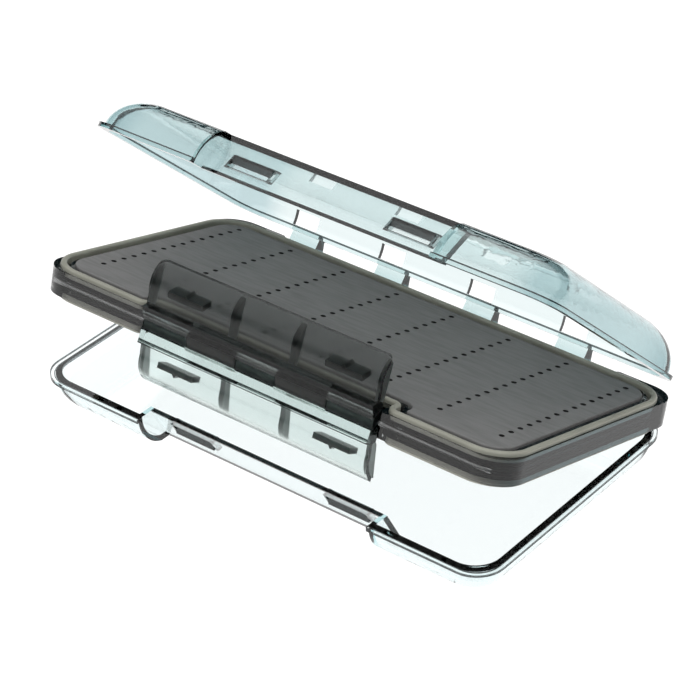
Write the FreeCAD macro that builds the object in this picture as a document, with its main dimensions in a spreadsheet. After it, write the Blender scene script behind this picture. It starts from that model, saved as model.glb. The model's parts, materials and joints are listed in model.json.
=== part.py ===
# A slim double-sided lure box: a smoky middle leaf that carries a slit foam
# pad and a rubber gasket on each face, two clear lids that turn on one steel
# pin along its rear edge, and two flap latches that turn on a second pin
# along its front edge.
#
# Everything is drawn as it lies in the closed box, with X along the hinge,
# the latches towards -Y and the middle of the leaf at the origin. Each piece
# is then turned to where it stands with the box open: the lower lid flat on
# the ground, the leaf part way up and the upper lid further up.
import FreeCAD
import Part
import Sketcher
import math
import os
import re

Vector = FreeCAD.Vector
Placement = FreeCAD.Placement
Rotation = FreeCAD.Rotation

SIZES = [
    ("leaf_long", 186.7, "leaf, along X"),
    ("leaf_wide", 99.3, "leaf, along Y"),
    ("leaf_half_thick", 4.3, "parting plane to the top of a tray's wall"),
    ("corner_round", 10.2, "corners of the leaf and of the lids"),
    ("floor_low", 0.8, "parting plane to the underside of a tray's floor"),
    ("floor_high", 2.0, "parting plane to the top of a tray's floor"),
    ("tray_skin", 1.5, "outer wall of a tray below its floor"),
    ("edge_lip", 0.8, "wall outside the gasket"),
    ("gasket_wide", 3.2, "gasket, across its section"),
    ("gasket_round", 13.0, "gasket's outer corners"),
    ("gasket_jog_round", 1.2, "gasket's tight bends beside the latches"),
    ("gasket_deep", 1.5, "groove that holds the gasket"),
    ("gasket_crown", 1.4, "gasket above the tray's wall"),
    ("gasket_crown_round", 1.1, "rounding along the crown"),
    ("foam_moat", 1.6, "gasket to the foam"),
    ("foam_high", 5.25, "parting plane to the face of the foam"),
    ("foam_slack", 0.3, "foam to the pocket that holds it"),
    ("point_rows", 8, "rows of pierced points"),
    ("row_points", 15, "pierced points in a row"),
    ("row_pitch", 23.0, "row to row, along X"),
    ("point_pitch", 5.0, "point to point, along Y"),
    ("point_wide", 1.2, "pierced point, across its flats"),
    ("point_deep", 1.6, "depth of a pierced point"),
    ("fit_gap", 0.1, "gasket to its groove"),
    ("pin_round", 0.8, "radius of both pins"),
    ("pin_grip", 0.02, "pin to the groove that grips it"),
    ("pin_run", 0.07, "pin to the knuckles that turn on it"),
    ("hinge_back", 51.35, "hinge pin behind the middle of the leaf"),
    ("hinge_round", 3.0, "radius of the hinge knuckles"),
    ("hinge_pitch", 37.57, "one pair of knuckles to the next"),
    ("knuckle_wide", 11.7, "a lid's knuckle, along X"),
    ("knuckle_gap", 0.4, "one lid's knuckle to the other's"),
    ("lug_wide", 12.4, "a lug of the leaf between the knuckles"),
    ("end_lug_wide", 8.6, "a lug of the leaf at the pin's end"),
    ("end_lug_cap", 1.0, "closed end of an end lug"),
    ("notch_half", 69.4, "half the notch in the leaf's rear edge"),
    ("notch_back", 46.8, "wall of that notch"),
    ("lug_window_wide", 8.0, "slot over an end lug, along X"),
    ("lug_window_deep", 1.8, "depth of that slot"),
    ("latch_front", 47.5, "latch pin in front of the middle of the leaf"),
    ("latch_round", 3.7, "radius of the latch knuckles"),
    ("latch_half", 46.3, "half the length of a latch"),
    ("latch_gap", 0.5, "latch to the ends of its recess"),
    ("recess_back", 43.3, "wall of the recess in the leaf's front edge"),
    ("latch_pin_half", 88.0, "half the length of the latch pin"),
    ("zone_inner", 8.0, "first change of knuckle, from the middle"),
    ("zone_outer", 28.2, "second change of knuckle, from the middle"),
    ("zone_gap", 0.15, "knuckle to each change"),
    ("zone_clear", 0.3, "round a knuckle to the other latch"),
    ("band_low", 2.6, "lower edge of the band where it has no knuckle"),
    ("band_high", 7.3, "top of the thick band along a latch"),
    ("band_step", 2.0, "band to the panels above it"),
    ("neck_back", 1.1, "back of the band behind the latch pin"),
    ("neck_high", 6.4, "height of the back of the band"),
    ("flap_in", 8.4, "centre of the flap's curve behind the pin"),
    ("flap_up", 11.08, "centre of the flap's curve above the pin"),
    ("flap_round", 9.05, "outside of the flap's curve"),
    ("flap_thick", 1.4, "skin of the flap"),
    ("tip_short", 1.5, "tip before the top of the curve"),
    ("web_thick", 1.3, "webs behind the flap"),
    ("web_inner", 15.2, "middle of the inner webs"),
    ("web_low_in", 2.15, "foot of a web behind the pin"),
    ("web_low", 7.4, "height of the foot of a web"),
    ("tooth_in", 5.1, "end of a tooth behind the pin"),
    ("tooth_low", 11.1, "underside of a tooth"),
    ("tooth_thick", 2.0, "tooth, along Z"),
    ("tooth_start", 23.5, "tooth's inner end"),
    ("tooth_long", 16.6, "tooth, along X"),
    ("lid_long", 183.5, "lid's rim, along X"),
    ("rim_front", 52.16, "lid's rim in front of the middle"),
    ("rim_rear", 48.44, "lid's rim behind the middle"),
    ("rim_low", 6.07, "parting plane to the lid's rim"),
    ("rim_thick", 1.5, "lid's rim, along Z"),
    ("rim_ledge", 1.4, "rim outside the lid's wall"),
    ("lid_wall", 1.7, "wall of a lid"),
    ("box_half_thick", 20.12, "parting plane to the outside of a lid"),
    ("dome_round", 13.14, "curve of a lid's wall"),
    ("cove_half", 47.0, "half the recess in a lid's front"),
    ("cove_front", 45.4, "foot of the recess wall in front of the middle"),
    ("cove_lean", 7.5, "how far the recess wall leans back"),
    ("cove_inset", 0.3, "walls beside the recess inside the dome"),
    ("slot_low", 9.9, "lower edge of the slots for the teeth"),
    ("slot_tall", 3.5, "slot, along Z"),
    ("slot_start", 23.0, "slot's inner end"),
    ("slot_long", 17.6, "slot, along X"),
    ("slot_round", 0.8, "corners of a slot"),
    ("arm_thick", 3.0, "arm from a lid's rim to its knuckle"),
    ("window_low", 7.9, "lower edge of the windows over the knuckles"),
    ("window_tall", 5.1, "window, along Z"),
    ("window_wide", 10.2, "window, along X"),
    ("leaf_open", 16.49, "leaf above the lower lid, in degrees"),
    ("lid_open", 26.74, "upper lid above the leaf, in degrees"),
    ("latch_open", 13.0, "each latch out from its shut place, in degrees"),
]

doc = FreeCAD.newDocument("lure_box")
dims = doc.addObject("Spreadsheet::Sheet", "dims")
for row, (name, size, note) in enumerate(SIZES, 1):
    dims.set(f"A{row}", note)
    dims.set(f"B{row}", str(size))
    dims.setAlias(f"B{row}", name)
doc.recompute()


def bound(text):
    """The expression with every size's name pointed at the sheet."""
    return re.sub(r"[a-z_]+\b(?!\()", lambda word: f"dims.{word.group()}", text)


def value(text):
    return float(dims.evalExpression(bound(text)))


def plane(body, role):
    return next(item for item in body.Origin.OriginFeatures if item.Role == role)


def arc_between(here, there, bend):
    """The arc from here to there that turns left, or right if bend is negative."""
    radius = abs(bend)
    half = (there - here) * 0.5
    rise = math.sqrt(max(radius ** 2 - half.Length ** 2, 0.0))
    left = Vector(-half.y, half.x, 0).normalize()
    centre = here + half + left * math.copysign(rise, bend)
    first, last = (here, there) if bend > 0 else (there, here)
    start = math.atan2(first.y - centre.y, first.x - centre.x)
    end = math.atan2(last.y - centre.y, last.x - centre.x)
    circle = Part.Circle(centre, Vector(0, 0, 1), radius)
    return Part.ArcOfCircle(circle, start, end)


def pin_down(sketch, kind, place, text):
    """Hold one end of a line or arc at a distance from the sketch's origin."""
    index = sketch.addConstraint(
        Sketcher.Constraint(kind, -1, 1, place[0], place[1], value(text))
    )
    sketch.setExpression(f"Constraints[{index}]", bound(text))


def draw(sketch, path):
    """A closed loop. Each entry is (x, y, bend to the next entry)."""
    points = [Vector(value(x), value(y), 0) for x, y, bend in path]
    ends = []
    for (x, y, bend), here, there in zip(path, points, points[1:] + points[:1]):
        if bend is None:
            line = sketch.addGeometry(Part.LineSegment(here, there))
            ends.append(((line, 1), (line, 2)))
            continue
        turn = value(bend)
        arc = sketch.addGeometry(arc_between(here, there, turn))
        ends.append(((arc, 1), (arc, 2)) if turn > 0 else ((arc, 2), (arc, 1)))
        index = sketch.addConstraint(Sketcher.Constraint("Radius", arc, abs(turn)))
        sketch.setExpression(f"Constraints[{index}]", bound(bend if turn > 0 else f"-({bend})"))
    for (x, y, bend), (start, end), (next_start, next_end) in zip(path, ends, ends[1:] + ends[:1]):
        sketch.addConstraint(Sketcher.Constraint("Coincident", *end, *next_start))
        pin_down(sketch, "DistanceX", start, x)
        pin_down(sketch, "DistanceY", start, y)


def rounded(corners):
    """A loop of lines along X and Y from (x, y, radius) corners, walked anticlockwise."""
    path = []
    count = len(corners)
    for index, (x, y, radius) in enumerate(corners):
        before = corners[index - 1]
        after = corners[(index + 1) % count]
        if radius is None:
            path.append((x, y, None))
            continue
        step_in = math.copysign(1, value(f"({x}) - ({before[0]}) + ({y}) - ({before[1]})"))
        step_out = math.copysign(1, value(f"({after[0]}) - ({x}) + ({after[1]}) - ({y})"))
        along_x = abs(value(f"({y}) - ({before[1]})")) < 1e-9
        back = "-" if step_in > 0 else "+"
        forth = "+" if step_out > 0 else "-"
        left = (step_in == step_out) == along_x
        bend = radius if left else f"-({radius})"
        if along_x:
            path.append((f"({x}) {back} ({radius})", y, bend))
            path.append((x, f"({y}) {forth} ({radius})", None))
        else:
            path.append((x, f"({y}) {back} ({radius})", bend))
            path.append((f"({x}) {forth} ({radius})", y, None))
    return path


def block(left, right, low, high, radius=None):
    corners = [(left, low, radius), (right, low, radius), (right, high, radius), (left, high, radius)]
    return rounded(corners)


def sketch_on(body, name, role, level, paths):
    """A sketch at a level along the normal of one of the body's own planes."""
    sketch = body.newObject("Sketcher::SketchObject", name)
    sketch.AttachmentSupport = [(plane(body, role), "")]
    sketch.MapMode = "FlatFace"
    sketch.setExpression("AttachmentOffset.Base.z", bound(level))
    for path in paths:
        draw(sketch, path)
    doc.recompute()
    return sketch


def circle_on(body, name, role, level, x, y, radius):
    sketch = body.newObject("Sketcher::SketchObject", name)
    sketch.AttachmentSupport = [(plane(body, role), "")]
    sketch.MapMode = "FlatFace"
    sketch.setExpression("AttachmentOffset.Base.z", bound(level))
    centre = Vector(value(x), value(y), 0)
    ring = sketch.addGeometry(Part.Circle(centre, Vector(0, 0, 1), value(radius)))
    pin_down(sketch, "DistanceX", (ring, 3), x)
    pin_down(sketch, "DistanceY", (ring, 3), y)
    index = sketch.addConstraint(Sketcher.Constraint("Radius", ring, value(radius)))
    sketch.setExpression(f"Constraints[{index}]", bound(radius))
    doc.recompute()
    return sketch


def extrude(body, kind, name, sketch, length, flip=False):
    """A pad along the sketch's normal, or a pocket against it, turned round by flip."""
    before = body.Shape.Volume if body.Tip else 0.0
    feature = body.newObject(kind, name)
    feature.Profile = sketch
    feature.setExpression("Length", bound(length))
    feature.Reversed = flip
    doc.recompute()
    gained = body.Shape.Volume - before
    if (gained > 0) != (kind == "PartDesign::Pad"):
        raise RuntimeError(f"{body.Label}: {name} changes nothing")
    return feature


def pad(body, name, sketch, length):
    return extrude(body, "PartDesign::Pad", name, sketch, length)


def pocket(body, name, sketch, length, flip=False):
    return extrude(body, "PartDesign::Pocket", name, sketch, length, flip)


def loft(body, kind, name, sketches):
    feature = body.newObject(kind, name)
    feature.Profile = sketches[0]
    feature.Sections = sketches[1:]
    feature.Ruled = False
    doc.recompute()
    return feature


def new_body(label, placement):
    body = doc.addObject("PartDesign::Body", label)
    print(label, flush=True)
    body.Label = label
    body.Placement = placement
    return body


def turned(degrees, back):
    """A turn about an axis along X through the middle plane of the leaf."""
    return Placement(Vector(), Rotation(Vector(1, 0, 0), degrees), Vector(0, value(back), 0))


FLIPPED = Placement(Vector(), Rotation(Vector(0, 1, 0), 180))
ON_GROUND = Placement(Vector(0, 0, value("box_half_thick")), Rotation())
LEAF_PLACE = ON_GROUND * turned(-value("leaf_open"), "hinge_back")
LID_PLACE = ON_GROUND * turned(-value("leaf_open + lid_open"), "hinge_back")

HALF_LONG = "leaf_long / 2"
HALF_WIDE = "leaf_wide / 2"
RECESS_HALF = "latch_half + latch_gap"


def leaf_loop(inset, corner, outward, inward):
    """The gasket's route and what runs beside it, an inset from the leaf's edge.

    outward rounds the bends that point out of the leaf, inward the others.
    """
    left = f"-({HALF_LONG} - ({inset}))"
    right = f"{HALF_LONG} - ({inset})"
    front = f"-({HALF_WIDE} - ({inset}))"
    jog = f"-(recess_back - ({inset}))"
    rear = f"notch_back - ({inset})"
    jog_left = f"-({RECESS_HALF} + ({inset}))"
    jog_right = f"{RECESS_HALF} + ({inset})"
    return rounded([
        (left, front, corner),
        (jog_left, front, outward),
        (jog_left, jog, inward),
        (jog_right, jog, inward),
        (jog_right, front, outward),
        (right, front, corner),
        (right, rear, corner),
        (left, rear, corner),
    ])


GASKET_IN = "edge_lip + gasket_wide"
FOAM_IN = f"{GASKET_IN} + foam_moat"
BEND_IN = "gasket_jog_round"
BEND_OUT = "gasket_jog_round + gasket_wide"


def gasket_loops(slack):
    """Outside and inside of the gasket, let out by a slack on both sides."""
    outside = leaf_loop(f"edge_lip - ({slack})", f"gasket_round + ({slack})", BEND_OUT, BEND_IN)
    inside = leaf_loop(
        f"{GASKET_IN} + ({slack})", f"gasket_round - gasket_wide - ({slack})", BEND_IN, BEND_OUT
    )
    return [outside, inside]


def foam_loop(slack):
    corner = f"gasket_round - gasket_wide - foam_moat + ({slack})"
    return leaf_loop(f"{FOAM_IN} - ({slack})", corner, BEND_IN, BEND_OUT)


def make_tray(label, placement):
    """One of the two shallow trays that lie back to back and grip both pins."""
    body = new_body(label, placement)
    edge = "gasket_jog_round"
    outline = rounded([
        (f"-{HALF_LONG}", f"-{HALF_WIDE}", "corner_round"),
        (f"-({RECESS_HALF})", f"-{HALF_WIDE}", edge),
        (f"-({RECESS_HALF})", "-recess_back", edge),
        (RECESS_HALF, "-recess_back", edge),
        (RECESS_HALF, f"-{HALF_WIDE}", edge),
        (HALF_LONG, f"-{HALF_WIDE}", "corner_round"),
        (HALF_LONG, HALF_WIDE, "corner_round"),
        ("notch_half", HALF_WIDE, edge),
        ("notch_half", "notch_back", edge),
        ("-notch_half", "notch_back", edge),
        ("-notch_half", HALF_WIDE, edge),
        (f"-{HALF_LONG}", HALF_WIDE, "corner_round"),
    ])
    slab = sketch_on(body, f"{label}_outline", "XY_Plane", "0", [outline])
    pad(body, f"{label}_slab", slab, "leaf_half_thick")

    top = "leaf_half_thick"
    foam_pocket = sketch_on(body, f"{label}_foam_bed", "XY_Plane", top, [foam_loop("foam_slack")])
    pocket(body, f"{label}_foam_pocket", foam_pocket, "leaf_half_thick - floor_high")
    groove = sketch_on(body, f"{label}_groove_route", "XY_Plane", top, gasket_loops("fit_gap"))
    pocket(body, f"{label}_groove", groove, "gasket_deep")

    corner = "corner_round - tray_skin"
    hollow = sketch_on(body, f"{label}_underside", "XY_Plane", "0", [
        leaf_loop("tray_skin + pin_round + tray_skin", corner, edge, edge)
    ])
    pocket(body, f"{label}_hollow", hollow, "floor_low", flip=True)

    lug = [
        ("notch_back - tray_skin", "0", None),
        ("hinge_back + hinge_round", "0", "hinge_round"),
        ("hinge_back", "hinge_round", None),
        ("notch_back - tray_skin", "hinge_round", None),
    ]
    spans = [(f"{index} * hinge_pitch - lug_wide / 2", "lug_wide") for index in (-1, 0, 1)]
    end_start = "notch_half + knuckle_gap"
    spans.append((f"-({end_start} + end_lug_wide)", "end_lug_wide"))
    spans.append((end_start, "end_lug_wide"))
    for index, (start, width) in enumerate(spans):
        section = sketch_on(body, f"{label}_lug_section_{index}", "YZ_Plane", start, [lug])
        pad(body, f"{label}_lug_{index}", section, width)

    pin_half = f"{end_start} + end_lug_wide - end_lug_cap"
    bore = circle_on(
        body, f"{label}_hinge_bore", "YZ_Plane", pin_half, "hinge_back", "0", "pin_round + pin_grip"
    )
    pocket(body, f"{label}_hinge_groove", bore, f"2 * ({pin_half})")
    bore = circle_on(
        body, f"{label}_latch_bore", "YZ_Plane", "latch_pin_half", "-latch_front", "0",
        "pin_round + pin_grip",
    )
    pocket(body, f"{label}_latch_groove", bore, "2 * latch_pin_half")

    middle = f"{end_start} + end_lug_wide / 2"
    windows = [
        block(f"{side} ({middle}) - lug_window_wide / 2", f"{side} ({middle}) + lug_window_wide / 2",
              "notch_back + edge_lip", f"{HALF_WIDE} - edge_lip")
        for side in ("0 -", "0 +")
    ]
    slots = sketch_on(body, f"{label}_lug_windows", "XY_Plane", top, windows)
    pocket(body, f"{label}_lug_slots", slots, "lug_window_deep")
    return body


def make_gasket(label, placement):
    body = new_body(label, placement)
    seat = "leaf_half_thick - gasket_deep + fit_gap"
    ring = sketch_on(body, f"{label}_route", "XY_Plane", seat, gasket_loops("0"))
    strip = pad(body, f"{label}_strip", ring, "gasket_deep - fit_gap + gasket_crown")
    crown = value("leaf_half_thick + gasket_crown")
    edges = [
        f"Edge{number}"
        for number, edge in enumerate(strip.Shape.Edges, 1)
        if abs(edge.BoundBox.ZMin - crown) < 1e-6
    ]
    rounding = body.newObject("PartDesign::Fillet", f"{label}_crown")
    rounding.Base = (strip, edges)
    rounding.setExpression("Radius", bound("gasket_crown_round"))
    doc.recompute()
    return body


def square(x, y, half):
    corners = [Vector(x + a * half, y + b * half, 0) for a, b in ((-1, -1), (1, -1), (1, 1), (-1, 1))]
    return [Part.LineSegment(here, there) for here, there in zip(corners, corners[1:] + corners[:1])]


def make_foam(label, placement):
    body = new_body(label, placement)
    bed = sketch_on(body, f"{label}_outline", "XY_Plane", "floor_high", [foam_loop("0")])
    pad(body, f"{label}_sheet", bed, "foam_high - floor_high")
    half = value("point_wide / 2")
    row_points = round(value("row_points"))
    rows = round(value("point_rows"))
    middle = value("(notch_back - recess_back) / 2")
    pierced = sketch_on(body, f"{label}_points", "XY_Plane", "foam_high", [])
    lines = []
    for row in range(rows):
        x = (row - (rows - 1) / 2) * value("row_pitch")
        for place in range(row_points):
            y = middle + (place - (row_points - 1) / 2) * value("point_pitch")
            lines += square(x, y, half)
    pierced.addGeometry(lines)
    pocket(body, f"{label}_pierced", pierced, "point_deep")
    return body


def make_latch(label, placement, owns):
    """A flap latch. owns names the stretches where it has the knuckle."""
    body = new_body(label, placement)
    pin = "-latch_front"
    curve_y = f"{pin} + flap_in"
    tip_y = f"{curve_y} - tip_short"

    def tip_z(inset):
        return f"flap_up + sqrt((flap_round - ({inset}))^2 - tip_short^2)"

    neck_z = "sqrt(latch_round^2 - neck_back^2)"
    section = [
        (f"{pin} - latch_round", "0", None),
        (f"{pin} - latch_round", "band_high", None),
        (f"{pin} - latch_round + band_step", "band_high", None),
        (f"{curve_y} - flap_round", "flap_up", "-flap_round"),
        (tip_y, tip_z("0"), None),
        (tip_y, tip_z("flap_thick"), "flap_round - flap_thick"),
        (f"{curve_y} - flap_round + flap_thick", "flap_up", None),
        (f"{pin} - latch_round + band_step + flap_thick", "band_high", None),
        (f"{pin} + neck_back", "neck_high", None),
        (f"{pin} + neck_back", neck_z, "-latch_round"),
        (f"{pin} + latch_round", "0", "-latch_round"),
        (pin, "-latch_round", "-latch_round"),
    ]
    profile = sketch_on(body, f"{label}_section", "YZ_Plane", "-latch_half", [section])
    pad(body, f"{label}_flap", profile, "2 * latch_half")

    web = [
        (f"{pin} - latch_round + band_step + flap_thick / 2", "neck_high", None),
        (f"{curve_y} - flap_round + flap_thick / 2", "flap_up", "-(flap_round - flap_thick / 2)"),
        (tip_y, tip_z("flap_thick / 2"), None),
        (tip_y, tip_z("flap_thick"), None),
        (f"{pin} + web_low_in", "web_low", None),
        (f"{pin} + neck_back", "neck_high", None),
    ]
    webs = ("-latch_half", "-web_inner - web_thick / 2", "web_inner - web_thick / 2",
            "latch_half - web_thick")
    for index, start in enumerate(webs):
        shape = sketch_on(body, f"{label}_web_section_{index}", "YZ_Plane", start, [web])
        pad(body, f"{label}_web_{index}", shape, "web_thick")

    tooth = block(f"{curve_y} - flap_round + flap_thick / 2", f"{pin} + tooth_in",
                  "tooth_low", "tooth_low + tooth_thick")
    for index, start in enumerate(("-(tooth_start + tooth_long)", "tooth_start")):
        shape = sketch_on(body, f"{label}_tooth_section_{index}", "YZ_Plane", start, [tooth])
        pad(body, f"{label}_tooth_{index}", shape, "tooth_long")

    stops = ["-latch_half", "-zone_outer", "-zone_inner", "zone_inner", "zone_outer", "latch_half"]
    clear = "latch_round + zone_clear"
    gap = [
        (f"{pin} - latch_round - zone_clear", "band_low", None),
        (f"{pin} - latch_round - zone_clear", f"-({clear})", None),
        (f"{pin} + {clear}", f"-({clear})", None),
        (f"{pin} + {clear}", "0", clear),
        (pin, clear, clear),
        (f"{pin} - sqrt(({clear})^2 - band_low^2)", "band_low", None),
    ]
    for index in range(len(stops) - 1):
        if index in owns:
            continue
        first = stops[index] + (" - zone_gap" if index else " - latch_gap")
        last = stops[index + 1] + (" + zone_gap" if index < len(stops) - 2 else " + latch_gap")
        shape = sketch_on(body, f"{label}_gap_section_{index}", "YZ_Plane", last, [gap])
        pocket(body, f"{label}_gap_{index}", shape, f"({last}) - ({first})")

    bore = circle_on(
        body, f"{label}_bore_section", "YZ_Plane", "latch_half + latch_gap", pin, "0",
        "pin_round + pin_run",
    )
    pocket(body, f"{label}_bore", bore, "2 * (latch_half + latch_gap)")
    return body


def lid_loop(inset, corner):
    """The lid's outline, an inset from the outside of its rim."""
    return block(
        f"-(lid_long / 2 - ({inset}))", f"lid_long / 2 - ({inset})",
        f"-(rim_front - ({inset}))", f"rim_rear - ({inset})", corner,
    )


def make_lid(label, placement):
    """A dished clear shell. The other lid is the same moulding turned over."""
    body = new_body(label, placement)
    rim_top = "rim_low + rim_thick"
    centre_in = "rim_ledge + dome_round"
    outer_rise = f"box_half_thick - ({rim_top})"
    inner_rise = f"{outer_rise} - lid_wall"
    steps = 4

    rim = sketch_on(body, f"{label}_rim_outline", "XY_Plane", "rim_low", [lid_loop("0", "corner_round")])
    pad(body, f"{label}_rim", rim, "rim_thick")

    def sections(part, rise, radius):
        made = []
        for step in range(steps + 1):
            up = f"({rise}) * {step} / {steps}"
            inset = f"{centre_in} - sqrt(({radius})^2 - ({up})^2)"
            corner = f"corner_round - ({inset}) / 4"
            made.append(sketch_on(
                body, f"{label}_{part}_{step}", "XY_Plane", f"{rim_top} + {up}", [lid_loop(inset, corner)]
            ))
        return made

    loft(body, "PartDesign::AdditiveLoft", f"{label}_dome", sections("dome", outer_rise, "dome_round"))
    inside = sections("cavity", inner_rise, "dome_round - lid_wall")
    loft(body, "PartDesign::SubtractiveLoft", f"{label}_cavity", inside)
    inset = "rim_ledge + lid_wall"
    mouth = sketch_on(body, f"{label}_mouth_outline", "XY_Plane", rim_top, [
        lid_loop(inset, f"corner_round - ({inset}) / 4")
    ])
    pocket(body, f"{label}_mouth", mouth, "rim_thick")

    foot = "-cove_front"
    head = "-cove_front + cove_lean"
    behind = "lid_wall"
    dome_y = f"-rim_front + {centre_in}"
    inner_round = "dome_round - cove_inset"
    top = "box_half_thick - cove_inset"
    wall = [
        ("-rim_front + rim_ledge + cove_inset", "rim_low", None),
        (f"{foot} + {behind}", "rim_low", None),
        (f"{head} + {behind}", top, None),
        (f"{dome_y} - sqrt(({inner_round})^2 - ({top} - ({rim_top}))^2)", top, inner_round),
        (f"{dome_y} - ({inner_round})", rim_top, None),
    ]
    shape = sketch_on(body, f"{label}_cove_wall_section", "YZ_Plane", "-(cove_half + lid_wall)", [wall])
    pad(body, f"{label}_cove_wall", shape, "2 * (cove_half + lid_wall)")
    past = "lid_wall"
    lean = "cove_lean / (box_half_thick - rim_low)"
    cove = [
        (f"-rim_front - {past}", f"rim_low - {past}", None),
        (f"{foot} - {past} * {lean}", f"rim_low - {past}", None),
        (f"{head} + {past} * {lean}", f"box_half_thick + {past}", None),
        (f"-rim_front - {past}", f"box_half_thick + {past}", None),
    ]
    shape = sketch_on(body, f"{label}_cove_section", "YZ_Plane", "cove_half", [cove])
    pocket(body, f"{label}_cove", shape, "2 * cove_half")

    slots = [
        block(start, f"({start}) + slot_long", "slot_low", "slot_low + slot_tall", "slot_round")
        for start in ("-(slot_start + slot_long)", "slot_start")
    ]
    shape = sketch_on(body, f"{label}_slot_outlines", "XZ_Plane", "rim_front", slots)
    pocket(body, f"{label}_slots", shape, "rim_front - cove_front + cove_lean + lid_wall")

    starts = [
        f"({index} - 1.5) * hinge_pitch - knuckle_gap / 2 - knuckle_wide" for index in range(4)
    ]
    reach = "hinge_back - hinge_round"
    arm = [
        (reach, "0", None),
        (reach, "rim_low", None),
        ("rim_rear - rim_ledge - lid_wall / 2", "rim_low", None),
        ("rim_rear - rim_ledge - lid_wall / 2", rim_top, None),
        (f"{reach} + arm_thick", rim_top, None),
        ("hinge_back + hinge_round", "hinge_round / 2", None),
        ("hinge_back + hinge_round", "0", "-hinge_round"),
        ("hinge_back", "-hinge_round", "-hinge_round"),
    ]
    for index, start in enumerate(starts):
        shape = sketch_on(body, f"{label}_arm_section_{index}", "YZ_Plane", start, [arm])
        pad(body, f"{label}_arm_{index}", shape, "knuckle_wide")
    windows = [
        block(f"{start} + (knuckle_wide - window_wide) / 2", f"{start} + (knuckle_wide + window_wide) / 2",
              "window_low", "window_low + window_tall")
        for start in starts
    ]
    shape = sketch_on(body, f"{label}_window_outlines", "XZ_Plane", "-rim_rear", windows)
    pocket(body, f"{label}_windows", shape, "rim_ledge + lid_wall + dome_round / 4", flip=True)

    bore = circle_on(
        body, f"{label}_bore_section", "YZ_Plane", "lid_long / 2", "hinge_back", "0",
        "pin_round + pin_run",
    )
    pocket(body, f"{label}_bore", bore, "lid_long")
    return body


def make_pin(label, half_long, y):
    body = new_body(label, LEAF_PLACE)
    disc = circle_on(body, f"{label}_section", "YZ_Plane", f"-({half_long})", y, "0", "pin_round")
    pad(body, f"{label}_rod", disc, f"2 * ({half_long})")
    return body


make_lid("lid_bottom", ON_GROUND * FLIPPED)
make_lid("lid_top", LID_PLACE)
make_tray("tray_bottom", LEAF_PLACE * FLIPPED)
make_tray("tray_top", LEAF_PLACE)
make_gasket("gasket_bottom", LEAF_PLACE * FLIPPED)
make_gasket("gasket_top", LEAF_PLACE)
make_foam("foam_bottom", LEAF_PLACE * FLIPPED)
make_foam("foam_top", LEAF_PLACE)
make_pin("hinge_pin", "notch_half + knuckle_gap + end_lug_wide - end_lug_cap - knuckle_gap", "hinge_back")
make_pin("latch_pin", "latch_pin_half - knuckle_gap", "-latch_front")
TOP_LATCH = LEAF_PLACE * turned(value("latch_open"), "-latch_front")
BOTTOM_LATCH = LEAF_PLACE * turned(-value("latch_open"), "-latch_front") * FLIPPED
make_latch("latch_top", TOP_LATCH, owns=(1, 3))
make_latch("latch_bottom", BOTTOM_LATCH, owns=(0, 2, 4))

doc.recompute()
for item in doc.Objects:
    if "Invalid" in item.State or "Error" in item.State:
        raise RuntimeError(f"{item.Label}: {item.State}")
bodies = [item for item in doc.Objects if item.TypeId == "PartDesign::Body"]
for body in bodies:
    if body.Shape.isNull() or not body.Shape.isValid():
        raise RuntimeError(f"{body.Label}: no valid shape")
os.makedirs("parts", exist_ok=True)
for body in bodies:
    body.Shape.exportStep(f"parts/{body.Label}.step")
    print(body.Label, "solids", len(body.Shape.Solids), "volume", round(body.Shape.Volume, 1))
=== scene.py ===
# The looks of a double-sided lure box: clear lids, a smoky leaf with slit
# foam pads and gaskets, and two smoky flap latches.
import bmesh
import bpy
import json
import math
from mathutils import Matrix, Vector


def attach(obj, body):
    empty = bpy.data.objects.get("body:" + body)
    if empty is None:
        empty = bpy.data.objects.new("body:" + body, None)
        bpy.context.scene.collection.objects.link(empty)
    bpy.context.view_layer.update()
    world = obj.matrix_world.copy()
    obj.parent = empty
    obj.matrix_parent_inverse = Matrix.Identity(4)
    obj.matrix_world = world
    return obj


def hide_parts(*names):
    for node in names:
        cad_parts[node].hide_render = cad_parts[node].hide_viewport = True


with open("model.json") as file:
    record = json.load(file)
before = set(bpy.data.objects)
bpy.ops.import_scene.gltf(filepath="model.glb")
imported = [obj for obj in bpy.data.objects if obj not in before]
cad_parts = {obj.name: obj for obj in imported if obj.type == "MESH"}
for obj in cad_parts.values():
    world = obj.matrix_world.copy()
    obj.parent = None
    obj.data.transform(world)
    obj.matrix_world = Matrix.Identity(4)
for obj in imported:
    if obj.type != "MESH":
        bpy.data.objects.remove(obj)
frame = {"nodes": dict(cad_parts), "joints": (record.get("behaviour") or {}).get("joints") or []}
scene = bpy.context.scene
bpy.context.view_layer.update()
MM = 0.001

# The camera, from the leaf's corners, its rows of points and both lids' rims
CAMERA_PLACE = Vector((477.97, -583.62, 537.44)) * MM
CAMERA_TURN = [math.radians(angle) for angle in (56.185, 1.139, 38.569)]
FOCAL_PIXELS = 2814.9
PHOTO_PIXELS = 700
SENSOR = 36.0

camera_data = bpy.data.cameras.new("camera")
camera_data.sensor_width = SENSOR
camera_data.lens = FOCAL_PIXELS / PHOTO_PIXELS * SENSOR
camera = bpy.data.objects.new("camera", camera_data)
camera.location = CAMERA_PLACE
camera.rotation_euler = CAMERA_TURN
scene.collection.objects.link(camera)
scene.camera = camera

# Each part's own coordinates, as it lies in the closed box: X along the
# hinge, -Y towards the latches, Z out of the leaf
JOINTS = {joint["name"]: joint for joint in frame["joints"]}
TURNED_OVER = Matrix.Rotation(math.pi, 4, "Y")


def rest_angle(name):
    """How far a joint stands from shut."""
    return -math.radians(JOINTS[name]["range_deg"][0])


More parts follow.
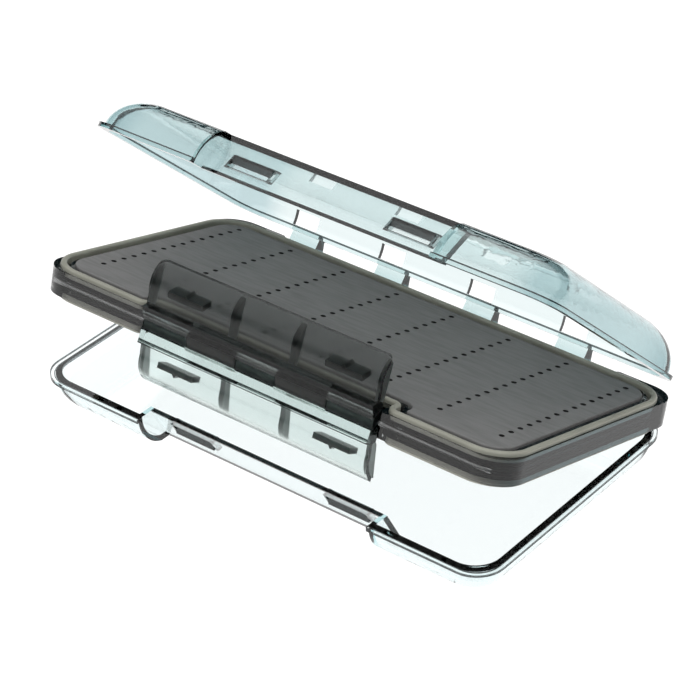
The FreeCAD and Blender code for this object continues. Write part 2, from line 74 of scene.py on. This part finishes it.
def turned(angle, y):
    """A turn about an axis along X through the middle plane of the leaf."""
    here = Matrix.Translation((0, y, 0))
    return here @ Matrix.Rotation(angle, 4, "X") @ here.inverted()


hinge_place = Vector(JOINTS["leaf_hinge"]["pos_m"])
ON_GROUND = Matrix.Translation((0, 0, hinge_place.z))
LEAF = ON_GROUND @ turned(-rest_angle("leaf_hinge"), hinge_place.y)
UNDER_LEAF = LEAF @ TURNED_OVER
TOP_LID = LEAF @ turned(-rest_angle("upper_lid_hinge"), hinge_place.y)
BOTTOM_LID = ON_GROUND @ TURNED_OVER
LATCH_PIN = (LEAF.inverted() @ Vector(JOINTS["upper_latch_hinge"]["pos_m"])).y
TOP_LATCH = LEAF @ turned(rest_angle("upper_latch_hinge"), LATCH_PIN)
BOTTOM_LATCH = LEAF @ turned(-rest_angle("lower_latch_hinge"), LATCH_PIN) @ TURNED_OVER


def material(name):
    made = bpy.data.materials.new(name)
    made.use_nodes = True
    return made, made.node_tree.nodes, made.node_tree.links


def shader_of(nodes):
    return next(node for node in nodes if node.type == "BSDF_PRINCIPLED")


def stretched_noise(nodes, links, scale, detail=4.0):
    """Noise in the object's own coordinates, with a scale for each axis."""
    coordinates = nodes.new("ShaderNodeTexCoord")
    mapping = nodes.new("ShaderNodeMapping")
    mapping.inputs["Scale"].default_value = scale
    noise = nodes.new("ShaderNodeTexNoise")
    noise.inputs["Scale"].default_value = 1.0
    noise.inputs["Detail"].default_value = detail
    links.new(coordinates.outputs["Object"], mapping.inputs["Vector"])
    links.new(mapping.outputs["Vector"], noise.inputs["Vector"])
    return noise.outputs["Fac"]


def bump(nodes, links, shader, height, strength, distance):
    made = nodes.new("ShaderNodeBump")
    made.inputs["Strength"].default_value = strength
    made.inputs["Distance"].default_value = distance
    links.new(height, made.inputs["Height"])
    links.new(made.outputs["Normal"], shader.inputs["Normal"])


def clear_plastic(name, tint, absorb, density, roughness=0.02, shine=1.0):
    """See-through plastic that darkens with the depth of material."""
    made, nodes, links = material(name)
    shader = shader_of(nodes)
    shader.inputs["Base Color"].default_value = (*tint, 1)
    shader.inputs["Specular Tint"].default_value = (shine, shine, shine, 1)
    shader.inputs["Transmission Weight"].default_value = 1.0
    shader.inputs["Roughness"].default_value = roughness
    shader.inputs["IOR"].default_value = 1.5
    inside = nodes.new("ShaderNodeVolumeAbsorption")
    inside.inputs["Color"].default_value = (*absorb, 1)
    inside.inputs["Density"].default_value = density
    output = next(node for node in nodes if node.type == "OUTPUT_MATERIAL")
    links.new(inside.outputs["Volume"], output.inputs["Volume"])
    return made


def between(nodes, links, amount, dark, light, low, high):
    """A colour between two, following an amount from low to high."""
    ramp = nodes.new("ShaderNodeValToRGB")
    first, last = ramp.color_ramp.elements
    first.position, first.color = low, (*dark, 1)
    last.position, last.color = high, (*light, 1)
    links.new(amount, ramp.inputs["Fac"])
    return ramp.outputs["Color"]


def paint_end_shade(made, tint, end_shade_colour, inner, outer, both=True):
    """Painted shade and reflection: a darker colour towards the ends along X, or towards the far end only."""
    nodes, links = made.node_tree.nodes, made.node_tree.links
    coordinates = nodes.new("ShaderNodeTexCoord")
    apart = nodes.new("ShaderNodeSeparateXYZ")
    links.new(coordinates.outputs["Object"], apart.inputs["Vector"])
    along = apart.outputs["X"]
    if both:
        size = nodes.new("ShaderNodeMath")
        size.operation = "ABSOLUTE"
        links.new(along, size.inputs[0])
        along = size.outputs["Value"]
    color = between(nodes, links, along, tint, end_shade_colour, inner, outer)
    links.new(color, shader_of(nodes).inputs["Base Color"])


def foam_finish():
    """Closed-cell foam with fine streaks along the leaf."""
    made, nodes, links = material("slit_foam")
    shader = shader_of(nodes)
    streaks = stretched_noise(nodes, links, (90.0, 700.0, 700.0), 3.0)
    color = between(nodes, links, streaks, (0.148, 0.146, 0.144), (0.19, 0.187, 0.185), 0.3, 0.62)
    links.new(color, shader.inputs["Base Color"])
    shader.inputs["Roughness"].default_value = 0.62
    cells = stretched_noise(nodes, links, (5200.0, 5200.0, 5200.0), 2.0)
    bump(nodes, links, shader, cells, 0.35, 0.00006)
    return made


def rubber_finish():
    made, nodes, links = material("gasket_rubber")
    shader = shader_of(nodes)
    patches = stretched_noise(nodes, links, (60.0, 60.0, 60.0))
    color = between(nodes, links, patches, (0.27, 0.268, 0.222), (0.35, 0.348, 0.292), 0.35, 0.7)
    links.new(color, shader.inputs["Base Color"])
    shader.inputs["Roughness"].default_value = 0.38
    bump(nodes, links, shader, stretched_noise(nodes, links, (1800.0, 1800.0, 1800.0)), 0.15, 0.00004)
    return made


def steel_finish():
    made, nodes, links = material("pin_steel")
    shader = shader_of(nodes)
    shader.inputs["Base Color"].default_value = (0.6, 0.6, 0.61, 1)
    shader.inputs["Metallic"].default_value = 1.0
    drawn = stretched_noise(nodes, links, (30.0, 4000.0, 4000.0))
    roughness = between(nodes, links, drawn, (0.2, 0.2, 0.2), (0.4, 0.4, 0.4), 0.3, 0.7)
    links.new(roughness, shader.inputs["Roughness"])
    return made


def pit_shade_finish():
    """Painted shade: the near-black inside of a point pierced in the foam."""
    made, nodes, links = material("pit_painted_shade")
    shader = shader_of(nodes)
    pit_shade_noise = stretched_noise(nodes, links, (2500.0, 2500.0, 2500.0))
    color = between(nodes, links, pit_shade_noise, (0.004, 0.004, 0.004), (0.012, 0.012, 0.012), 0.3, 0.7)
    links.new(color, shader.inputs["Base Color"])
    shader.inputs["Roughness"].default_value = 0.9
    return made


LID = clear_plastic("lid_plastic", (0.985, 0.995, 0.995), (0.1, 0.62, 0.66), 40.0)
# The top lid: a deeper-tinted copy of the lid plastic, with painted shade darkening it towards both ends
TOP_LID_SHADED_ENDS = clear_plastic("top_lid_plastic", (0.95, 0.97, 0.97), (0.1, 0.46, 0.47), 105.0)
paint_end_shade(TOP_LID_SHADED_ENDS, (0.95, 0.97, 0.97), (0.64, 0.74, 0.76), 0.072, 0.082)
# A darker copy of the lid plastic: painted shade for the frames round the slots
LID_FRAME_SHADE = clear_plastic("lid_frame_shade_plastic", (0.8, 0.84, 0.84), (0.2, 0.3, 0.31), 500.0, 0.05)
TRAY = clear_plastic("tray_plastic", (0.93, 0.93, 0.93), (0.27, 0.28, 0.27), 300.0, 0.05)
# Painted reflection: the tray turns bluer and darker at its far end along +X
paint_end_shade(TRAY, (0.93, 0.93, 0.93), (0.42, 0.6, 0.66), 0.088, 0.0925, both=False)
# A near-black copy of the lid plastic: painted shade for the lines round the rims, the bar at the foot of the
# recess and the catch walls in the slots
LID_LINE_SHADE = clear_plastic("lid_line_shade_plastic", (0.55, 0.57, 0.57), (0.08, 0.1, 0.11), 4200.0, 0.08)
# A near-black copy of the lid plastic with little shine: painted shade for the bar along the top lid's front
# edge
LID_FOLD_SHADE = clear_plastic("lid_edge_shade", (0.12, 0.15, 0.155), (0.05, 0.07, 0.08), 6000.0, 0.1, 0.1)
# Two copies of the latch plastic: a darker one for the top latch, painted shade, and a paler one for the bottom
# latch, painted light
LATCH = clear_plastic("latch_plastic", (0.56, 0.58, 0.575), (0.1, 0.14, 0.13), 160.0, 0.16, 0.3)
LATCH_LIT_PALE = clear_plastic("lit_pale_latch_plastic", (0.77, 0.84, 0.822), (0.3, 0.5, 0.46), 40.0, 0.12, 0.6)
# A denser, darker copy of the latch plastic: painted shade for the webs, teeth and barrels
LATCH_RIB_SHADE = clear_plastic("latch_rib_shade_plastic", (0.7, 0.72, 0.71), (0.1, 0.14, 0.13), 700.0, 0.3)
GASKET = rubber_finish()
FOAM = foam_finish()
PIT = pit_shade_finish()
STEEL = steel_finish()

FINISH = {
    "lid_top": TOP_LID_SHADED_ENDS, "lid_bottom": LID, "tray_top": TRAY, "tray_bottom": TRAY,
    "latch_top": LATCH, "latch_bottom": LATCH_LIT_PALE, "gasket_top": GASKET, "gasket_bottom": GASKET,
    "foam_top": FOAM, "foam_bottom": FOAM, "hinge_pin": STEEL, "latch_pin": STEEL,
}
for node, finish in FINISH.items():
    piece = frame["nodes"][node]
    piece.data.materials.clear()
    piece.data.materials.append(finish)


def new_piece(name, mesh, materials):
    data = bpy.data.meshes.new(name)
    mesh.to_mesh(data)
    mesh.free()
    for finish in materials:
        data.materials.append(finish)
    made = bpy.data.objects.new(name, data)
    scene.collection.objects.link(made)
    return made


def smooth(piece, degrees=35):
    """Smooth faces, with a crease where they meet at more than an angle."""
    for face in piece.data.polygons:
        face.use_smooth = True
    piece.data.set_sharp_from_angle(angle=math.radians(degrees))


def settle(piece, place, body, node=None):
    """Put a piece drawn in a part's own coordinates in its place, on its body."""
    piece.data.transform(place)
    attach(piece, body)
    if node:
        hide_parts(node)


def apply_modifiers(piece):
    made = bpy.data.meshes.new_from_object(piece.evaluated_get(bpy.context.evaluated_depsgraph_get()))
    piece.modifiers.clear()
    piece.data = made


def cut_out(piece, cutter, itself=False):
    """Take one piece's volume out of another, and with it the cutter."""
    cut = piece.modifiers.new("cut", "BOOLEAN")
    cut.operation = "DIFFERENCE"
    cut.solver = "EXACT"
    cut.use_self = itself
    cut.material_mode = "TRANSFER"
    cut.object = cutter
    apply_modifiers(piece)
    bpy.data.objects.remove(cutter)


def arc(centre, radius, start, end, steps):
    """Points along an arc, in degrees, with both of its ends."""
    made = []
    for step in range(steps + 1):
        angle = math.radians(start + (end - start) * step / steps)
        made.append((centre[0] + radius * math.cos(angle), centre[1] + radius * math.sin(angle)))
    return made


def prism(mesh, section, left, right):
    """A closed prism along X over a section of (y, z) points in millimetres."""
    ends = [[mesh.verts.new(Vector((x, y, z)) * MM) for y, z in section] for x in (left, right)]
    for index in range(len(section)):
        after = (index + 1) % len(section)
        mesh.faces.new((ends[0][index], ends[0][after], ends[1][after], ends[1][index]))
    mesh.faces.new(reversed(ends[0]))
    mesh.faces.new(ends[1])


def box_between(mesh, low, high, lean=0.0):
    """A block in millimetres, its faces across Y leaning back by a slope."""
    section = [
        (low[1], low[2]), (high[1], low[2]),
        (high[1] + lean * (high[2] - low[2]), high[2]), (low[1] + lean * (high[2] - low[2]), high[2]),
    ]
    prism(mesh, section, low[0], high[0])


def outward(mesh):
    bmesh.ops.recalc_face_normals(mesh, faces=mesh.faces)


# Latches, in millimetres in their own coordinates
PIN_Y = LATCH_PIN / MM
LATCH_HALF = 46.3
KNUCKLE = 3.7
BORE = 0.9
BAND_LOW = 2.6
BAND_HIGH = 7.3
BAND_STEP = 2.0
NECK_BACK = 1.1
NECK_HIGH = 6.4
FLAP_Y = PIN_Y + 8.4
FLAP_Z = 11.08
FLAP_ROUND = 9.05
FLAP_THICK = 1.4
TIP_SHORT = 1.5
TIP_ROUND = 2.5
ZONES = (-LATCH_HALF, -28.2, -8.0, 8.0, 28.2, LATCH_HALF)
ZONE_GAP = 0.15
KNUCKLE_CLEAR = 0.3
WEB_INNER = 12.2
WEB_THICK = 2.0
END_WEB_THICK = 1.5
TOOTH_START = 24.6
TOOTH_LONG = 14.4
TOOTH_LOW = 11.1
TOOTH_THICK = 2.0
TOOTH_IN = 5.1
BARREL_INNER = 1.3
BARREL_OUTER = 3.5
BARREL_END = 0.2
NUB_HALF = 0.9
NUB_HIGH = 0.9
SEAM = 0.03


def flap_arc(inset, steps=14):
    """The flap's curve from its foot to its tip, an inset from its outside."""
    radius = FLAP_ROUND - inset
    end = 90 + math.degrees(math.asin(TIP_SHORT / radius))
    return arc((FLAP_Y, FLAP_Z), radius, 180, end, steps)


def latch_section():
    outer = flap_arc(0)
    inner = flap_arc(FLAP_THICK)
    turn = math.degrees(math.acos(NECK_BACK / KNUCKLE))
    return (
        [(PIN_Y - KNUCKLE, 0), (PIN_Y - KNUCKLE, BAND_HIGH), (PIN_Y - KNUCKLE + BAND_STEP, BAND_HIGH)]
        + outer + inner[::-1]
        + [(PIN_Y - KNUCKLE + BAND_STEP + FLAP_THICK, BAND_HIGH), (PIN_Y + NECK_BACK, NECK_HIGH)]
        + arc((PIN_Y, 0), KNUCKLE, turn, -180, 24)[:-1]
    )


def make_latch(name, node, body, place, owns, plastic):
    mesh = bmesh.new()
    prism(mesh, latch_section(), -LATCH_HALF, LATCH_HALF)
    outward(mesh)
    flap = new_piece(name, mesh, (plastic,))
    clear = KNUCKLE + KNUCKLE_CLEAR
    reach = math.degrees(math.asin(BAND_LOW / clear))
    gap = (
        [(PIN_Y - clear, BAND_LOW), (PIN_Y - clear, -clear), (PIN_Y + clear, -clear)]
        + arc((PIN_Y, 0), clear, 0, 180 - reach, 16)
    )
    for index in range(len(ZONES) - 1):
        if index in owns:
            continue
        mesh = bmesh.new()
        left = ZONES[index] - (ZONE_GAP if index else 1)
        right = ZONES[index + 1] + (ZONE_GAP if index < len(ZONES) - 2 else 1)
        prism(mesh, gap, left, right)
        outward(mesh)
        cut_out(flap, new_piece("gap", mesh, (plastic,)))
    mesh = bmesh.new()
    prism(mesh, arc((PIN_Y, 0), BORE, 0, 345, 23), -LATCH_HALF - 1, LATCH_HALF + 1)
    outward(mesh)
    cut_out(flap, new_piece("bore", mesh, (plastic,)))
    tip_y = FLAP_Y - TIP_SHORT
    high = FLAP_Z + FLAP_ROUND + 1
    low = high - TIP_ROUND - FLAP_THICK - 1
    for side in (-1, 1):
        corner = arc((side * (LATCH_HALF - TIP_ROUND), tip_y - TIP_ROUND), TIP_ROUND, 90, 90 - side * 90, 8)
        corner += [(side * (LATCH_HALF + 1), tip_y - TIP_ROUND), (side * (LATCH_HALF + 1), tip_y + 1),
                   (side * (LATCH_HALF - TIP_ROUND), tip_y + 1)]
        mesh = bmesh.new()
        ends = [[mesh.verts.new(Vector((x, y, z)) * MM) for x, y in corner] for z in (low, high)]
        for index in range(len(corner)):
            after = (index + 1) % len(corner)
            mesh.faces.new((ends[0][index], ends[0][after], ends[1][after], ends[1][index]))
        mesh.faces.new(reversed(ends[0]))
        mesh.faces.new(ends[1])
        outward(mesh)
        cut_out(flap, new_piece("corner", mesh, (plastic,)))
    smooth(flap)
    settle(flap, place, body, node)

    mesh = bmesh.new()
    inner = flap_arc(FLAP_THICK + SEAM, 12)
    web = [(PIN_Y + NECK_BACK + SEAM, NECK_HIGH + SEAM)] + [
        (PIN_Y - KNUCKLE + BAND_STEP + FLAP_THICK + SEAM, BAND_HIGH + SEAM)
    ] + inner[:-1] + [(PIN_Y + 2.15, 7.4)]
    for start, width in (
        (-LATCH_HALF + SEAM, END_WEB_THICK), (-WEB_INNER - WEB_THICK / 2, WEB_THICK),
        (WEB_INNER - WEB_THICK / 2, WEB_THICK), (LATCH_HALF - END_WEB_THICK - SEAM, END_WEB_THICK),
    ):
        prism(mesh, web, start, start + width)
    front = FLAP_Y - FLAP_ROUND + FLAP_THICK + SEAM
    for start in (-TOOTH_START - TOOTH_LONG, TOOTH_START):
        middle = start + TOOTH_LONG / 2
        top = TOOTH_LOW + TOOTH_THICK
        face = [(start, TOOTH_LOW), (start + TOOTH_LONG, TOOTH_LOW), (start + TOOTH_LONG, top),
                (middle + NUB_HALF, top), (middle, top + NUB_HIGH), (middle - NUB_HALF, top), (start, top)]
        ends = [[mesh.verts.new(Vector((x, y, z)) * MM) for x, z in face] for y in (front, PIN_Y + TOOTH_IN)]
        for index in range(len(face)):
            after = (index + 1) % len(face)
            mesh.faces.new((ends[0][index], ends[0][after], ends[1][after], ends[1][index]))
        mesh.faces.new(reversed(ends[0]))
        mesh.faces.new(ends[1])
    barrel = arc((PIN_Y, 0), BARREL_OUTER, 130, 300, 12) + arc((PIN_Y, 0), BARREL_INNER, 300, 130, 12)
    for index in owns:
        prism(mesh, barrel, ZONES[index] + BARREL_END, ZONES[index + 1] - BARREL_END)
    outward(mesh)
    ribs = new_piece(f"{name}_ribs", mesh, (LATCH_RIB_SHADE,))
    smooth(ribs)
    settle(ribs, place, body)


make_latch("latch_flap_top", "latch_top", "upper_latch", TOP_LATCH, (1, 3), LATCH)
make_latch("latch_flap_bottom", "latch_bottom", "lower_latch", BOTTOM_LATCH, (0, 2, 4), LATCH_LIT_PALE)

# Foam: its outline is that of the flat underside of its solid
POINT_ROWS = 8
ROW_POINTS = 15
ROW_PITCH = 23.0 * MM
POINT_PITCH = 5.0 * MM
POINT_ROUND = 0.95 * MM
POINT_DEEP = 2.4 * MM
POINT_SIDES = 16
FOAM_EDGE = 0.5 * MM
RECESS_REACH = 60 * MM
EDGE_STEPS = 3
FLAT = 0.00001


def outline_below(node, place):
    """The outer edge of a node's flat underside, in order, and its lowest and highest levels."""
    solid = bmesh.new()
    solid.from_mesh(frame["nodes"][node].data)
    solid.transform(place.inverted())
    bmesh.ops.remove_doubles(solid, verts=solid.verts, dist=FLAT / 10)
    low = min(corner.co.z for corner in solid.verts)
    high = max(corner.co.z for corner in solid.verts)
    under = {face for face in solid.faces if all(corner.co.z < low + FLAT for corner in face.verts)}
    rim = [edge for edge in solid.edges if sum(face in under for face in edge.link_faces) == 1]
    ways = {}
    for edge in rim:
        for corner, other in (edge.verts, reversed(edge.verts)):
            ways.setdefault(corner, []).append(other)
    start = max(ways, key=lambda corner: corner.co.x)
    corner = start
    before = None
    loop = []
    while corner is not start or before is None:
        loop.append(Vector((corner.co.x, corner.co.y, 0)))
        after = next(other for other in ways[corner] if other is not before)
        before, corner = corner, after
    solid.free()
    area = sum(here.x * there.y - there.x * here.y for here, there in zip(loop, loop[1:] + loop[:1]))
    if area < 0:
        loop.reverse()
    return loop, low, high


def inward(loop):
    """At each corner of an anticlockwise outline, the step that moves both sides in by one."""
    steps = []
    count = len(loop)
    for index in range(count):
        first = (loop[index] - loop[index - 1]).normalized()
        last = (loop[(index + 1) % count] - loop[index]).normalized()
        middle = Vector((-first.y - last.y, first.x + last.x, 0)).normalized()
        steps.append(middle / max(0.5, middle.dot(Vector((-first.y, first.x, 0)))))
    return steps


def foam_pad(name, node, place):
    loop, low, high = outline_below(node, place)
    steps = inward(loop)
    levels = [(0.0, low)]
    for step in range(EDGE_STEPS + 1):
        angle = step / EDGE_STEPS * math.pi / 2
        levels.append((FOAM_EDGE * (1 - math.cos(angle)), high - FOAM_EDGE * (1 - math.sin(angle))))
    pad = bmesh.new()
    rings = [
        [pad.verts.new(corner + step * inset + Vector((0, 0, level))) for corner, step in zip(loop, steps)]
        for inset, level in levels
    ]
    for lower, upper in zip(rings, rings[1:]):
        for index in range(len(loop)):
            after = (index + 1) % len(loop)
            pad.faces.new((lower[index], lower[after], upper[after], upper[index]))
    pad.faces.new(rings[-1])
    pad.faces.new(reversed(rings[0]))
    body = new_piece(name, pad, (FOAM, PIT))

    rear = max(corner.y for corner in loop)
    front = max(corner.y for corner in loop if corner.y < 0 and abs(corner.x) < RECESS_REACH)
    middle = (rear + front) / 2
    drill = bmesh.new()
    for row in range(POINT_ROWS):
        for point in range(ROW_POINTS):
            x = (row - (POINT_ROWS - 1) / 2) * ROW_PITCH
            y = middle + (point - (ROW_POINTS - 1) / 2) * POINT_PITCH
            bmesh.ops.create_cone(
                drill, cap_ends=True, segments=POINT_SIDES, radius1=POINT_ROUND, radius2=POINT_ROUND,
                depth=2 * POINT_DEEP, matrix=Matrix.Translation((x, y, high)),
            )
    # The points' walls take the near-black painted shade material
    cut_out(body, new_piece(f"{name}_points", drill, (PIT,)))
    settle(body, place, "leaf", node)


# Gaskets: a crowned ring along the outer edge of the solid's underside
GASKET_WIDE = 2.1 * MM
CROWN_ROUND = 0.85 * MM
CROWN_STEPS = 4


def gasket_ring(name, node, place):
    loop, low, high = outline_below(node, place)
    steps = inward(loop)
    section = [(0.0, low)]
    for side, centre in ((-1, CROWN_ROUND), (1, GASKET_WIDE - CROWN_ROUND)):
        for step in range(CROWN_STEPS + 1):
            angle = step / CROWN_STEPS * math.pi / 2
            across, rise = (math.cos(angle), math.sin(angle)) if side < 0 else (math.sin(angle), math.cos(angle))
            section.append((centre + side * CROWN_ROUND * across, high - CROWN_ROUND * (1 - rise)))
    section.append((GASKET_WIDE, low))
    ring = bmesh.new()
    rows = [
        [ring.verts.new(corner + step * inset + Vector((0, 0, level))) for corner, step in zip(loop, steps)]
        for inset, level in section
    ]
    for lower, upper in zip(rows, rows[1:] + rows[:1]):
        for index in range(len(loop)):
            after = (index + 1) % len(loop)
            ring.faces.new((lower[index], lower[after], upper[after], upper[index]))
    outward(ring)
    made = new_piece(name, ring, (GASKET,))
    smooth(made)
    settle(made, place, "leaf", node)


gasket_ring("gasket_ring_top", "gasket_top", LEAF)
gasket_ring("gasket_ring_bottom", "gasket_bottom", UNDER_LEAF)

# Walls round the slots for the teeth, in millimetres in a lid's own coordinates; they are drawn in darker copies
# of the lid plastic, as painted shade
COVE_FOOT = -45.4
COVE_LEAN = 7.5 / 14.05
RIM_LOW = 6.07
SLOT_LOW = 9.9
SLOT_TALL = 3.5
SLOT_START = 23.7
SLOT_LONG = 16.2
FRAME_SKIN = 0.7
FRAME_DEEP = 3.6
TOOTH_CLEAR = 0.6
SLOT_OPEN = 0.4
CATCH_THICK = 0.5


def slot_frames(name, body, place):
    mesh = bmesh.new()
    low, high = SLOT_LOW - FRAME_SKIN, SLOT_LOW + SLOT_TALL + FRAME_SKIN
    for start in (-SLOT_START - SLOT_LONG, SLOT_START):
        end = start + SLOT_LONG
        bars = (
            (start - FRAME_SKIN, end + FRAME_SKIN, low, SLOT_LOW),
            (start - FRAME_SKIN, end + FRAME_SKIN, SLOT_LOW + SLOT_TALL, high),
            (start - FRAME_SKIN, start, SLOT_LOW, SLOT_LOW + SLOT_TALL),
            (end, end + FRAME_SKIN, SLOT_LOW, SLOT_LOW + SLOT_TALL),
        )
        for left, right, under, over in bars:
            foot = COVE_FOOT + COVE_LEAN * (under - RIM_LOW)
            box_between(mesh, (left, foot + SEAM, under), (right, foot + FRAME_DEEP, over), COVE_LEAN)
    outward(mesh)
    made = new_piece(name, mesh, (LID_FRAME_SHADE,))
    settle(made, place, body)

    # Thin catch walls in the near-black lid plastic: painted shade inside the slots
    mesh = bmesh.new()
    near = PIN_Y + TOOTH_IN + TOOTH_CLEAR
    under = SLOT_LOW + SLOT_TALL * SLOT_OPEN
    for start in (-SLOT_START - SLOT_LONG, SLOT_START):
        box_between(mesh, (start, near, under), (start + SLOT_LONG, near + CATCH_THICK, high))
    outward(mesh)
    made = new_piece(f"{name}_walls", mesh, (LID_LINE_SHADE,))
    settle(made, place, body)


slot_frames("slot_frames_top", "upper_lid", TOP_LID)
slot_frames("slot_frames_bottom", "lower_lid", BOTTOM_LID)

# Painted shade: near-black lines along the edges of a lid, in millimetres in its own coordinates
LID_HALF = 91.75
LID_FRONT = 52.16
LID_REAR = 48.44
LID_CORNER = 10.2
LID_TOP = 20.12
COVE_END = 47.2
LINE = 0.35
LINES = ((-0.05, 7.27), (1.3, 7.5))
FOOT_BAR = (6.04, 6.84, 1.7)
FOLD_SHADE_WIDE = 1.1
FOLD_SHADE_TALL = ((-77, 0.4), (-62, 1.5), (-47, 2.1), (47, 2.1), (62, 1.4), (77, 0.4))


def rim_shade_line(mesh, inset, level):
    """A painted shade line round a lid's rim, from one end of the recess to the other."""
    right, front, rear = LID_HALF - inset, inset - LID_FRONT, LID_REAR - inset
    bend = LID_CORNER - inset
    path = [(COVE_END, front)]
    path += arc((right - bend, front + bend), bend, -90, 0, 8)
    path += arc((right - bend, rear - bend), bend, 0, 90, 8)
    path += arc((bend - right, rear - bend), bend, 90, 180, 8)
    path += arc((bend - right, front + bend), bend, 180, 270, 8)
    path += [(-COVE_END, front)]
    loop = [Vector((x, y, 0)) for x, y in path]
    section = ((0, level), (LINE, level), (LINE, level + LINE), (0, level + LINE))
    rows = [
        [mesh.verts.new((point + step * across + Vector((0, 0, up))) * MM) for across, up in section]
        for point, step in zip(loop, inward(loop))
    ]
    for here, there in zip(rows, rows[1:]):
        for index in range(len(section)):
            after = (index + 1) % len(section)
            mesh.faces.new((here[index], here[after], there[after], there[index]))
    mesh.faces.new(rows[0])
    mesh.faces.new(reversed(rows[-1]))


def fold_shade_bar(mesh):
    """Painted shade: a near-black bar along the front edge of a lid's flat top, thinner towards its ends."""
    rows = []
    for x, tall in FOLD_SHADE_TALL:
        face = COVE_FOOT + COVE_LEAN * (LID_TOP - RIM_LOW) + SEAM
        foot = face - COVE_LEAN * tall
        section = (
            (foot, LID_TOP - tall), (foot + FOLD_SHADE_WIDE, LID_TOP - tall),
            (face + FOLD_SHADE_WIDE, LID_TOP - SEAM), (face, LID_TOP - SEAM),
        )
        rows.append([mesh.verts.new(Vector((x, y, z)) * MM) for y, z in section])
    for here, there in zip(rows, rows[1:]):
        for index in range(4):
            after = (index + 1) % 4
            mesh.faces.new((here[index], here[after], there[after], there[index]))
    mesh.faces.new(rows[0])
    mesh.faces.new(reversed(rows[-1]))


def rim_shade_lines(name, body, place, fold):
    mesh = bmesh.new()
    for inset, level in LINES:
        rim_shade_line(mesh, inset, level)
    low, high, wide = FOOT_BAR
    box_between(mesh, (-COVE_END, COVE_FOOT - SEAM, low), (COVE_END, COVE_FOOT + wide, high), COVE_LEAN)
    outward(mesh)
    settle(new_piece(name, mesh, (LID_LINE_SHADE,)), place, body)
    if fold:
        mesh = bmesh.new()
        fold_shade_bar(mesh)
        outward(mesh)
        settle(new_piece(f"{name}_fold", mesh, (LID_FOLD_SHADE,)), place, body)


rim_shade_lines("lid_rim_shade_top", "upper_lid", TOP_LID, True)
rim_shade_lines("lid_rim_shade_bottom", "lower_lid", BOTTOM_LID, False)


foam_pad("foam_sheet_top", "foam_top", LEAF)
foam_pad("foam_sheet_bottom", "foam_bottom", UNDER_LEAF)

# A white floor and soft white light from above, darker towards the horizon
FLOOR_SIDE = 3.0
FLOOR_LEVEL = -0.5 * MM
floor_mesh = bmesh.new()
bmesh.ops.create_grid(
    floor_mesh, x_segments=1, y_segments=1, size=FLOOR_SIDE, matrix=Matrix.Translation((0, 0, FLOOR_LEVEL))
)
floor_white, floor_nodes, floor_links = material("floor_white")
floor_shader = shader_of(floor_nodes)
floor_shader.inputs["Base Color"].default_value = (0.05, 0.05, 0.05, 1)
floor_shader.inputs["Roughness"].default_value = 1.0
floor_shader.inputs["Specular IOR Level"].default_value = 0.0
floor_shader.inputs["Emission Color"].default_value = (1, 1, 1, 1)
floor_shader.inputs["Emission Strength"].default_value = 1.12
floor = new_piece("floor", floor_mesh, (floor_white,))

world = bpy.data.worlds.new("studio")
scene.world = world
world.use_nodes = True
sky, sky_links = world.node_tree.nodes, world.node_tree.links
direction = sky.new("ShaderNodeTexCoord")
height = sky.new("ShaderNodeSeparateXYZ")
ramp = sky.new("ShaderNodeValToRGB")
sky_links.new(direction.outputs["Generated"], height.inputs["Vector"])
sky_links.new(height.outputs["Z"], ramp.inputs["Fac"])
sky_links.new(ramp.outputs["Color"], sky["Background"].inputs["Color"])
ramp.color_ramp.elements[0].position = 0.36
ramp.color_ramp.elements[0].color = (0.012, 0.024, 0.028, 1)
ramp.color_ramp.elements[1].position = 0.5
ramp.color_ramp.elements[1].color = (1, 1, 1, 1)
sky["Background"].inputs["Strength"].default_value = 1.3
scene.view_settings.view_transform = "Standard"
scene.cycles.max_bounces = 24
scene.cycles.transmission_bounces = 24
